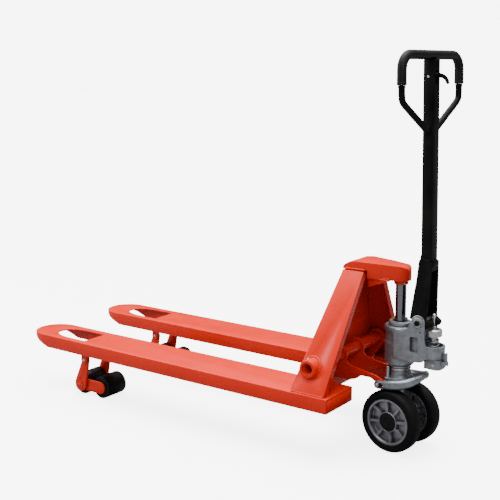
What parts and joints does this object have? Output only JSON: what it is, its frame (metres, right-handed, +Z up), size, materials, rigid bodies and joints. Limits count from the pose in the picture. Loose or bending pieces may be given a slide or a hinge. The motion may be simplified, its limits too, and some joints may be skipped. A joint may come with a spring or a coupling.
{
  "type": "pallet jack",
  "caption": "Hand pallet truck with channel forks on tandem rollers, a hydraulic pump unit on steering wheels, and a tiller with a loop grip.",
  "frame": {"origin": "centre of the bounding box, on the floor", "axes": "+X from the fork tips to the tiller, +Y across the forks, +Z up"},
  "size_m": [1.5963, 0.55, 1.2475],
  "materials": {
    "red_paint": "gloss enamel",
    "chrome": "hard chrome",
    "steel": "zinc plated",
    "grey_casting": "silver painted casting",
    "black_paint": "semi-gloss",
    "black_plastic": "moulded",
    "rubber": "solid rubber",
    "aluminium": "as cast"
  },
  "bodies": {
    "base": {"base_bracket": "grey_casting", "stop_stud": "steel"},
    "frame": {"fork_left": "red_paint", "fork_right": "red_paint", "heel_plate_left": "red_paint", "heel_plate_right": "red_paint", "heel_crossmember": "red_paint", "tower_side_left": "red_paint", "tower_side_right": "red_paint", "tower_front": "red_paint", "tower_cap": "red_paint", "ram_socket": "red_paint", "ram": "chrome", "shaft_boss_left": "red_paint", "shaft_boss_right": "red_paint"},
    "rocker": {"torsion_shaft": "red_paint", "rocker_arm_left": "red_paint", "rocker_arm_right": "red_paint", "rocker_pin_left": "steel", "rocker_pin_right": "steel", "fork_lever_left": "red_paint", "fork_lever_right": "red_paint"},
    "steer": {"pump_housing": "grey_casting", "gland_nut": "grey_casting", "valve_block": "grey_casting", "thrust_bearing": "steel", "steering_stem": "grey_casting", "wheel_axle": "steel", "plunger_spring": "steel"},
    "plunger": {"plunger": "steel", "plunger_screw": "steel"},
    "handle": {"tiller_yoke": "black_paint", "tiller_pin": "steel", "tiller_tube": "black_paint", "tiller_grip": "black_plastic", "tiller_arm_left": "black_paint", "tiller_arm_right": "black_paint"},
    "trigger": {"trigger": "black_paint"},
    "release_rod": {"release_rod": "steel"},
    "release_lever": {"release_lever": "steel"},
    "push_rod_left": {"push_rod_left": "steel"},
    "leg_left": {"leg_left": "red_paint", "leg_axle_left": "steel"},
    "bogie_left": {"bogie_left": "red_paint"},
    "front_roller_left": {"front_roller_left": "black_plastic"},
    "rear_roller_left": {"rear_roller_left": "black_plastic"},
    "wheel_left": {"tyre_left": "rubber", "wheel_hub_left": "aluminium", "hub_cap_left": "black_plastic"},
    "press_roller_left": {"press_roller_left": "steel"},
    "push_rod_right": {"push_rod_right": "steel"},
    "leg_right": {"leg_right": "red_paint", "leg_axle_right": "steel"},
    "bogie_right": {"bogie_right": "red_paint"},
    "front_roller_right": {"front_roller_right": "black_plastic"},
    "rear_roller_right": {"rear_roller_right": "black_plastic"},
    "wheel_right": {"tyre_right": "rubber", "wheel_hub_right": "aluminium", "hub_cap_right": "black_plastic"},
    "press_roller_right": {"press_roller_right": "steel"}
  },
  "joints": [
    {"name": "lift", "type": "slide", "parent": "base", "child": "frame", "axis": [0, 0, 1], "range_m": [-0.115, 0]},
    {"name": "rocker_turn", "type": "hinge", "parent": "frame", "child": "rocker", "pos_m": [0.4438, 0, 0.28], "axis": [0, 1, 0], "range_deg": [-41.2, 0.1]},
    {"name": "steer_turn", "type": "hinge", "parent": "base", "child": "steer", "pos_m": [0.6298, 0, 0.2], "axis": [0, 0, 1], "range_deg": [-89.8, 100.2]},
    {"name": "handle_tilt", "type": "hinge", "parent": "steer", "child": "handle", "pos_m": [0.71694, -0.00793, 0.424], "axis": [0.0906, 0.9959, 0], "range_deg": [0, 78], "stiffness_Nm_per_rad": 12, "springref_deg": -20.05},
    {"name": "plunger_slide", "type": "slide", "parent": "steer", "child": "plunger", "axis": [0, 0, 1], "range_m": [-0.0287, 0.0001], "deforming": ["plunger_spring"]},
    {"name": "trigger_turn", "type": "hinge", "parent": "handle", "child": "trigger", "pos_m": [0.71788, -0.00802, 1.1691], "axis": [0.0906, 0.9959, 0], "range_deg": [-12, 12], "stiffness_Nm_per_rad": 0.6},
    {"name": "release_rod_slide", "type": "slide", "parent": "handle", "child": "release_rod", "axis": [-0.0148, 0.0013, 0.9999], "range_m": [-0.0031, 0.0031]},
    {"name": "release_lever_turn", "type": "hinge", "parent": "steer", "child": "release_lever", "pos_m": [0.79263, -0.01482, 0.3], "axis": [0.0906, 0.9959, 0], "range_deg": [-8.1, 8.1]},
    {"name": "push_rod_slide_left", "type": "slide", "parent": "frame", "child": "push_rod_left", "axis": [1, 0, 0], "range_m": [-0.0002, 0.0645]},
    {"name": "leg_turn_left", "type": "hinge", "parent": "frame", "child": "leg_left", "pos_m": [-0.5092, -0.195, 0.1395], "axis": [0, 1, 0], "range_deg": [-0.1, 81.9]},
    {"name": "bogie_turn_left", "type": "hinge", "parent": "leg_left", "child": "bogie_left", "pos_m": [-0.53923, -0.195, 0.04004], "axis": [0, 1, 0], "range_deg": [-81.9, 0.1]},
    {"name": "front_roller_spin_left", "type": "hinge", "parent": "bogie_left", "child": "front_roller_left", "pos_m": [-0.53923, -0.195, 0.04004], "axis": [0, 1, 0], "continuous": true},
    {"name": "rear_roller_spin_left", "type": "hinge", "parent": "bogie_left", "child": "rear_roller_left", "pos_m": [-0.44723, -0.195, 0.04004], "axis": [0, 1, 0], "continuous": true},
    {"name": "wheel_spin_left", "type": "hinge", "parent": "steer", "child": "wheel_left", "pos_m": [0.6345, -0.05867, 0.1], "axis": [0.0906, 0.9959, 0], "continuous": true},
    {"name": "press_roller_spin_left", "type": "hinge", "parent": "handle", "child": "press_roller_left", "pos_m": [0.74637, -0.01061, 0.42044], "axis": [0.0906, 0.9959, 0], "continuous": true},
    {"name": "push_rod_slide_right", "type": "slide", "parent": "frame", "child": "push_rod_right", "axis": [1, 0, 0], "range_m": [-0.0002, 0.0645]},
    {"name": "leg_turn_right", "type": "hinge", "parent": "frame", "child": "leg_right", "pos_m": [-0.5092, 0.195, 0.1395], "axis": [0, 1, 0], "range_deg": [-0.1, 81.9]},
    {"name": "bogie_turn_right", "type": "hinge", "parent": "leg_right", "child": "bogie_right", "pos_m": [-0.53923, 0.195, 0.04004], "axis": [0, 1, 0], "range_deg": [-81.9, 0.1]},
    {"name": "front_roller_spin_right", "type": "hinge", "parent": "bogie_right", "child": "front_roller_right", "pos_m": [-0.53923, 0.195, 0.04004], "axis": [0, 1, 0], "continuous": true},
    {"name": "rear_roller_spin_right", "type": "hinge", "parent": "bogie_right", "child": "rear_roller_right", "pos_m": [-0.44723, 0.195, 0.04004], "axis": [0, 1, 0], "continuous": true},
    {"name": "wheel_spin_right", "type": "hinge", "parent": "steer", "child": "wheel_right", "pos_m": [0.64502, 0.05686, 0.1], "axis": [0.0906, 0.9959, 0], "continuous": true},
    {"name": "press_roller_spin_right", "type": "hinge", "parent": "handle", "child": "press_roller_right", "pos_m": [0.74637, -0.01061, 0.42044], "axis": [0.0906, 0.9959, 0], "continuous": true}
  ],
  "couplings": [
    {"joint": "rocker_turn", "follows": "lift", "rad_per_m": 6.2377},
    {"joint": "plunger_slide", "follows": "handle_tilt", "m_per_rad": -0.020935},
    {"joint": "release_rod_slide", "follows": "trigger_turn", "m_per_rad": 0.014324},
    {"joint": "release_lever_turn", "follows": "trigger_turn", "ratio": 0.66667},
    {"joint": "push_rod_slide_left", "follows": "lift", "ratio": -0.5592},
    {"joint": "leg_turn_left", "follows": "lift", "rad_per_m": -12.415},
    {"joint": "bogie_turn_left", "follows": "lift", "rad_per_m": 12.415},
    {"joint": "push_rod_slide_right", "follows": "lift", "ratio": -0.5592},
    {"joint": "leg_turn_right", "follows": "lift", "rad_per_m": -12.415},
    {"joint": "bogie_turn_right", "follows": "lift", "rad_per_m": 12.415}
  ]
}
